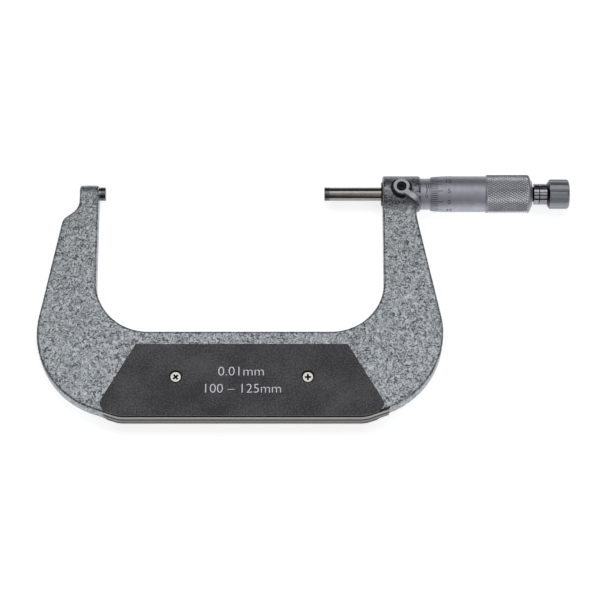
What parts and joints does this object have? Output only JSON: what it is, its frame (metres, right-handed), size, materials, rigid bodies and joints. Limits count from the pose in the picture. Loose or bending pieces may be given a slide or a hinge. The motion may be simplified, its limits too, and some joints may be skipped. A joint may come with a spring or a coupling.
{
  "type": "outside micrometer",
  "caption": "C-frame outside micrometer with anvil, screw-driven spindle, graduated sleeve and thimble, lever lock, ratchet stop and frame cover plates.",
  "frame": {"origin": "centre of the anvil's measuring face, on the spindle axis", "axes": "+X from the anvil along the spindle to the ratchet knob, +Y from the bow of the frame towards its open end, +Z out of the front cover plate"},
  "size_m": [0.2458, 0.1202, 0.0187],
  "materials": {
    "frame_paint": "hammertone grey",
    "ground_steel": "ground",
    "carbide": "lapped",
    "dark_steel": "blackened",
    "satin_chrome": "satin",
    "polished_steel": "polished",
    "spring_steel": "drawn wire",
    "knob_grey": "matte",
    "nickel": "nickel plated",
    "black_steel": "black oxide",
    "plate_plastic": "fine matte"
  },
  "bodies": {
    "frame": {"frame": "frame_paint", "anvil": "ground_steel", "anvil_tip": "carbide", "spindle_bush": "dark_steel", "inner_sleeve": "ground_steel", "front_plate": "plate_plastic", "back_plate": "plate_plastic", "front_plate_screws": "nickel", "back_plate_screws": "nickel"},
    "sleeve": {"sleeve": "satin_chrome"},
    "adjusting_nut": {"adjusting_nut": "ground_steel"},
    "spindle_tip": {"spindle_tip": "carbide"},
    "thimble": {"thimble": "satin_chrome", "spindle": "polished_steel", "ratchet_body": "polished_steel", "ratchet_wheel": "dark_steel", "ratchet_screw": "nickel"},
    "ratchet": {"ratchet_knob": "knob_grey", "ratchet_spring": "spring_steel"},
    "click_disc": {"click_disc": "dark_steel"},
    "lock_lever": {"lock_lever": "satin_chrome", "lock_screw": "black_steel"},
    "lock_plunger": {"lock_plunger": "ground_steel"}
  },
  "joints": [
    {"name": "spindle_travel", "type": "slide", "parent": "frame", "child": "spindle_tip", "axis": [1, 0, 0], "range_m": [-0.00207, 0.02293]},
    {"name": "thimble_turn", "type": "hinge", "parent": "spindle_tip", "child": "thimble", "pos_m": [0.17, 0, 0], "axis": [1, 0, 0], "range_deg": [-1488.97, 16511.05]},
    {"name": "ratchet_slip", "type": "hinge", "parent": "thimble", "child": "ratchet", "pos_m": [0.21, 0, 0], "axis": [1, 0, 0], "continuous": true},
    {"name": "ratchet_click", "type": "slide", "parent": "ratchet", "child": "click_disc", "axis": [1, 0, 0], "range_m": [0, 0.0005], "stiffness_N_per_m": 300, "springref_m": -0.001, "deforming": ["ratchet_spring"]},
    {"name": "sleeve_zero", "type": "hinge", "parent": "frame", "child": "sleeve", "pos_m": [0.16, 0, 0], "axis": [1, 0, 0], "range_deg": [-15, 15]},
    {"name": "nut_adjust", "type": "hinge", "parent": "frame", "child": "adjusting_nut", "pos_m": [0.18, 0, 0], "axis": [1, 0, 0], "range_deg": [-20, 20]},
    {"name": "lock_turn", "type": "hinge", "parent": "frame", "child": "lock_lever", "pos_m": [0.13785, 0, 0.0085], "axis": [0, 0, 1], "range_deg": [-60.01, 0]},
    {"name": "lock_press", "type": "slide", "parent": "frame", "child": "lock_plunger", "axis": [0, 0, 1], "range_m": [-0.00008, 0]}
  ],
  "couplings": [
    {"joint": "thimble_turn", "follows": "spindle_travel", "rad_per_m": 12566},
    {"joint": "lock_turn", "follows": "lock_press", "rad_per_m": 13090}
  ]
}
